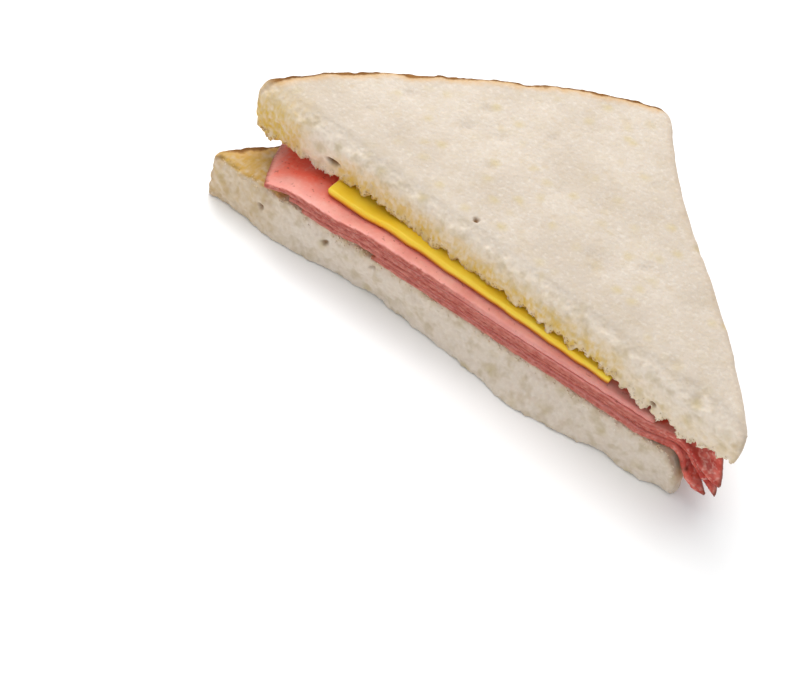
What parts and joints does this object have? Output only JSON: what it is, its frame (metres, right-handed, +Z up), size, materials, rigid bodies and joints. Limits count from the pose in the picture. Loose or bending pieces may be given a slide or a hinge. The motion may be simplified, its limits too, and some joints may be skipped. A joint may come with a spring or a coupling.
{
  "type": "bologna sandwich",
  "caption": "Diagonally cut half of a bologna sandwich on white loaf bread, with fanned bologna and processed cheese showing along the cut, lying flat.",
  "frame": {"origin": "middle of the bounding box of the whole half sandwich, on the surface that it rests on", "axes": "+X along the diagonal cut, -Y out of the cut face towards the viewer, +Z up through the layers"},
  "size_m": [0.1546, 0.0918, 0.0352],
  "materials": {
    "bread_bottom": "soft white bread crumb, matte, with a thin tan crust",
    "bologna_slice_1": "moist cured sausage slice, pink red, slightly glossy",
    "bologna_slice_2": "moist cured sausage slice, pink red, slightly glossy",
    "bologna_slice_3": "moist cured sausage slice, pink red, slightly glossy",
    "bologna_slice_4": "moist cured sausage slice, light pink on its face, slightly glossy",
    "cheese_slice": "smooth processed cheese, warm yellow, satin",
    "bread_top": "soft white bread crumb, matte, with a thin tan crust"
  },
  "bodies": {
    "root": {"bread_bottom": "bread_bottom", "bologna_slice_1": "bologna_slice_1", "bologna_slice_2": "bologna_slice_2", "bologna_slice_3": "bologna_slice_3", "bologna_slice_4": "bologna_slice_4", "cheese_slice": "cheese_slice", "bread_top": "bread_top"}
  },
  "joints": []
}
